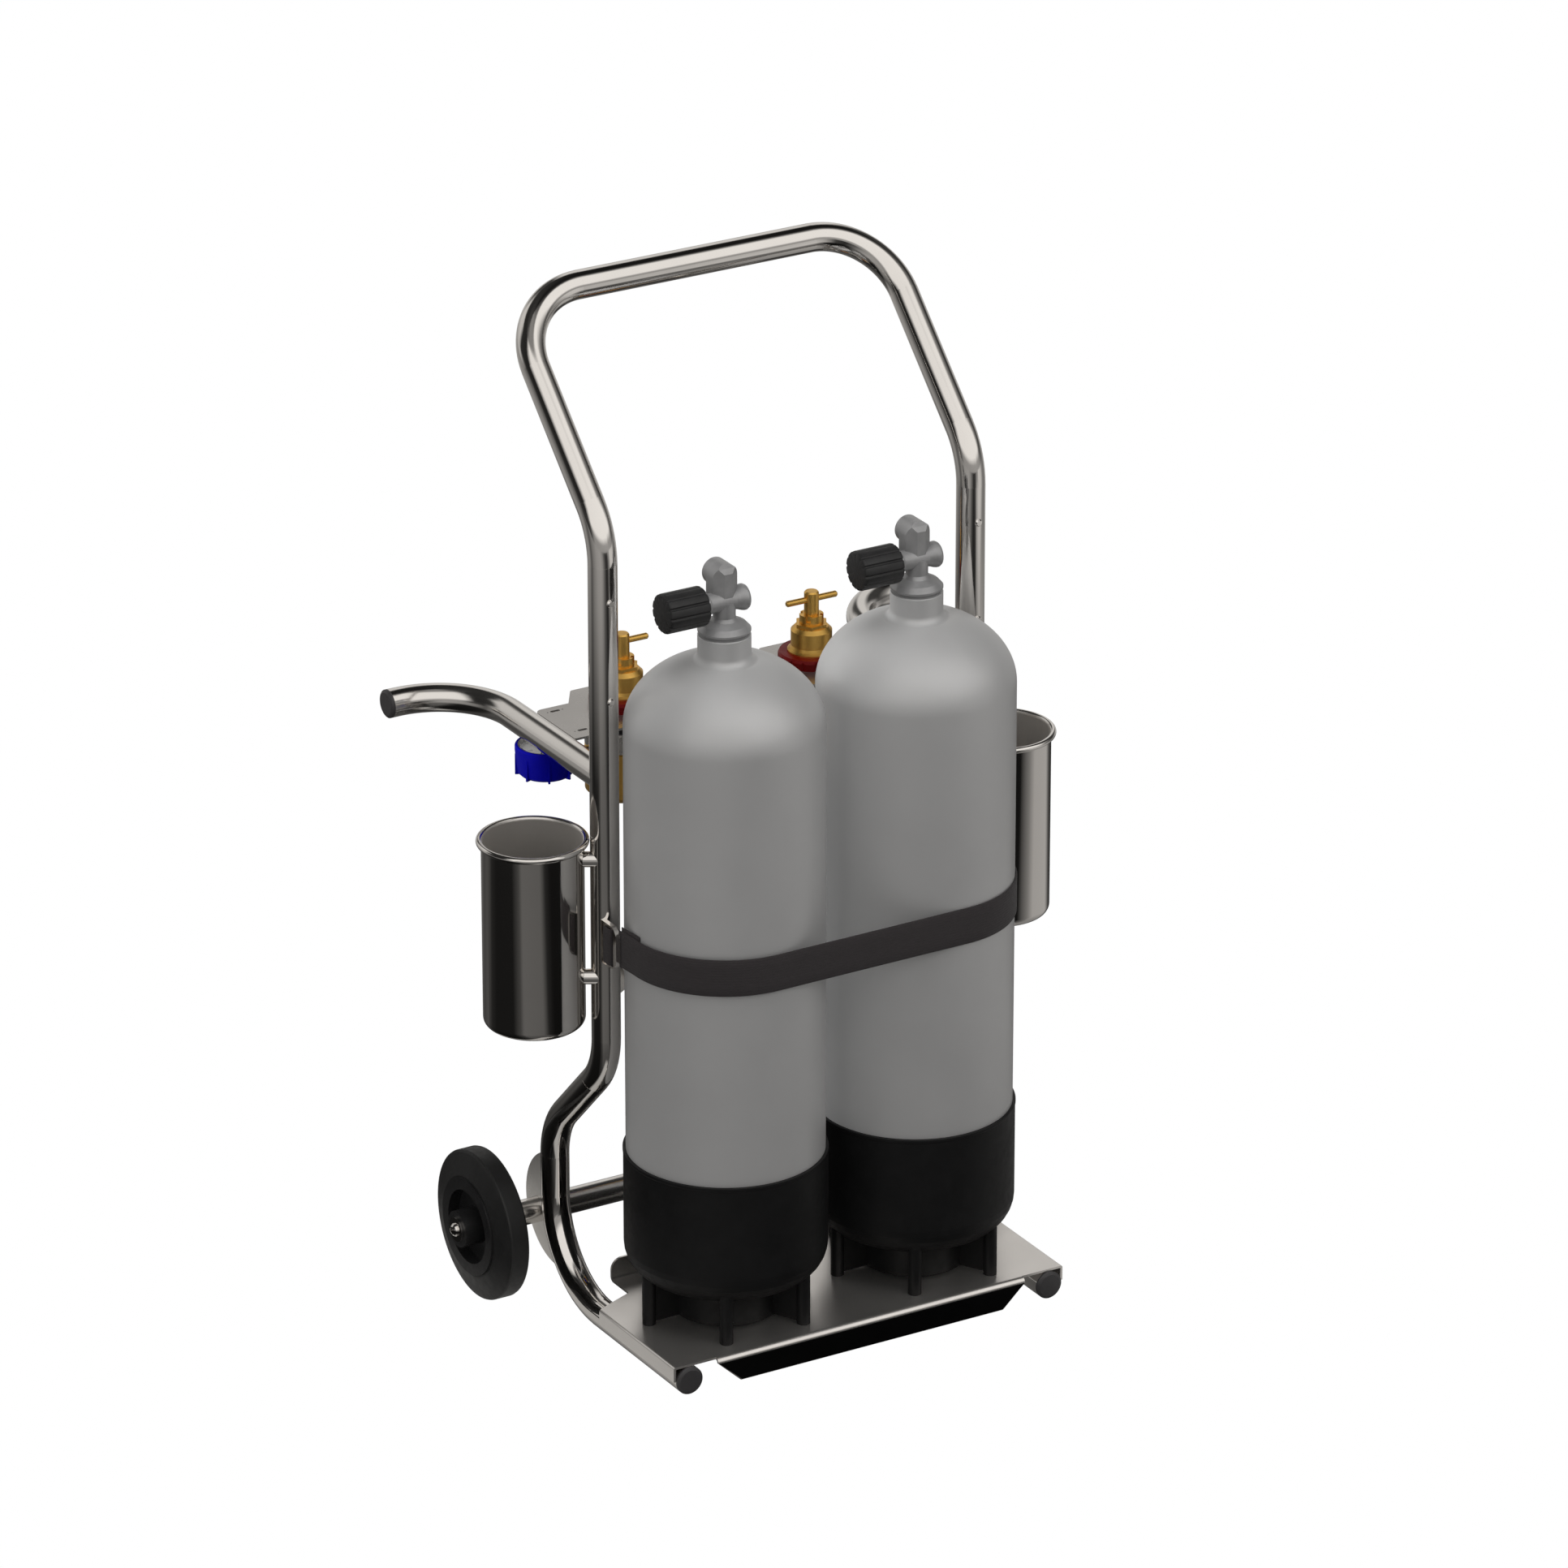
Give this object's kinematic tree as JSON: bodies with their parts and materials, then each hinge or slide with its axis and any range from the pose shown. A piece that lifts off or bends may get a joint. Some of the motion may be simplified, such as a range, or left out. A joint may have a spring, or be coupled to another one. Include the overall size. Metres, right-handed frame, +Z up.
{
  "type": "gas cylinder trolley",
  "caption": "Bent-tube hand trolley for paired gas cylinders, with footplate, strap, cups, hose arms, regulator shelf and wheels on a rear axle.",
  "frame": {"origin": "on the floor at the middle of the footprint", "axes": "+Z up, +Y to the rear where the push handle leans, +X to the side"},
  "size_m": [0.6682, 0.4642, 1.0845],
  "materials": {
    "stainless": "polished stainless tube",
    "sheet": "polished stainless sheet",
    "caps": "smooth black",
    "panel": "smooth black",
    "webbing": "woven black",
    "wheel_centre": "moulded black",
    "tyre": "solid black rubber",
    "cylinder_paint": "semi-gloss grey",
    "boot": "satin black",
    "valve": "satin plated",
    "knob": "satin black",
    "red_ring": "gloss dark red",
    "brass": "machined",
    "seal": "satin black",
    "steel_body": "machined",
    "gauge_boot": "gloss dark blue",
    "dial": "matte white",
    "lens": "clear",
    "pointer": "matte black"
  },
  "bodies": {
    "frame": {"side_frame_left": "stainless", "side_frame_right": "stainless", "push_handle": "stainless", "arm_left": "stainless", "arm_right": "stainless", "axle_tube": "stainless", "axle_stubs": "stainless", "gussets": "stainless", "cup_left": "stainless", "cup_right": "stainless", "cup_studs": "stainless", "strap_lugs": "stainless", "back_rest": "stainless", "frame_screws": "stainless", "wheel_washers": "stainless", "wheel_bolts": "stainless", "base_plate": "sheet", "shelf_plate": "sheet", "foot_caps": "caps", "arm_caps": "caps", "label_plate": "panel", "strap": "webbing", "strap_tail": "webbing", "panel_rings": "red_ring", "bonnets": "brass", "seal_rings": "seal", "steel_bodies": "steel_body", "brass_bodies": "brass", "gauge_stems": "brass", "gauge_boots": "gauge_boot", "gauge_cases": "steel_body", "gauge_dials": "dial", "gauge_lenses": "lens"},
    "left_wheel": {"wheel_left": "wheel_centre", "tyre_left": "tyre"},
    "left_cylinder": {"shell_left": "cylinder_paint", "boot_left": "boot", "valve_left": "valve"},
    "left_knob": {"knob_left": "knob", "spindle_left": "stainless"},
    "left_button": {"button_left": "stainless"},
    "left_screw": {"screw_left": "brass", "cross_bar_left": "brass"},
    "left_pointer": {"pointer_left": "pointer"},
    "right_wheel": {"wheel_right": "wheel_centre", "tyre_right": "tyre"},
    "right_cylinder": {"shell_right": "cylinder_paint", "boot_right": "boot", "valve_right": "valve"},
    "right_knob": {"knob_right": "knob", "spindle_right": "stainless"},
    "right_button": {"button_right": "stainless"},
    "right_screw": {"screw_right": "brass", "cross_bar_right": "brass"},
    "right_pointer": {"pointer_right": "pointer"}
  },
  "joints": [
    {"name": "left_wheel_roll", "type": "hinge", "parent": "frame", "child": "left_wheel", "pos_m": [-0.2821, 0.08163, 0.08], "axis": [1, 0, 0], "continuous": true},
    {"name": "left_cylinder_lift", "type": "slide", "parent": "frame", "child": "left_cylinder", "axis": [0, 0, 1], "range_m": [0, 0.2]},
    {"name": "left_knob_turn", "type": "hinge", "parent": "left_cylinder", "child": "left_knob", "pos_m": [-0.136, -0.12463, 0.8109], "axis": [-1, 0, 0], "range_deg": [0, 720]},
    {"name": "left_button_travel", "type": "slide", "parent": "frame", "child": "left_button", "axis": [0, 0, 1], "range_m": [-0.006, 0]},
    {"name": "left_screw_turn", "type": "hinge", "parent": "left_button", "child": "left_screw", "pos_m": [-0.112, 0.08237, 0.694], "axis": [0, 0, 1], "range_deg": [-1440, 0]},
    {"name": "left_pointer_turn", "type": "hinge", "parent": "frame", "child": "left_pointer", "pos_m": [-0.202, 0.08237, 0.5941], "axis": [0, 0, -1], "range_deg": [0, 270]},
    {"name": "right_wheel_roll", "type": "hinge", "parent": "frame", "child": "right_wheel", "pos_m": [0.2821, 0.08163, 0.08], "axis": [1, 0, 0], "continuous": true},
    {"name": "right_cylinder_lift", "type": "slide", "parent": "frame", "child": "right_cylinder", "axis": [0, 0, 1], "range_m": [0, 0.2]},
    {"name": "right_knob_turn", "type": "hinge", "parent": "right_cylinder", "child": "right_knob", "pos_m": [0.088, -0.12463, 0.8109], "axis": [-1, 0, 0], "range_deg": [0, 720]},
    {"name": "right_button_travel", "type": "slide", "parent": "frame", "child": "right_button", "axis": [0, 0, 1], "range_m": [-0.006, 0]},
    {"name": "right_screw_turn", "type": "hinge", "parent": "right_button", "child": "right_screw", "pos_m": [0.112, 0.08237, 0.694], "axis": [0, 0, 1], "range_deg": [-1440, 0]},
    {"name": "right_pointer_turn", "type": "hinge", "parent": "frame", "child": "right_pointer", "pos_m": [0.022, 0.08237, 0.5941], "axis": [0, 0, -1], "range_deg": [0, 270]}
  ],
  "couplings": [
    {"joint": "left_button_travel", "follows": "left_screw_turn", "m_per_rad": 0.00023873},
    {"joint": "right_button_travel", "follows": "right_screw_turn", "m_per_rad": 0.00023873}
  ]
}
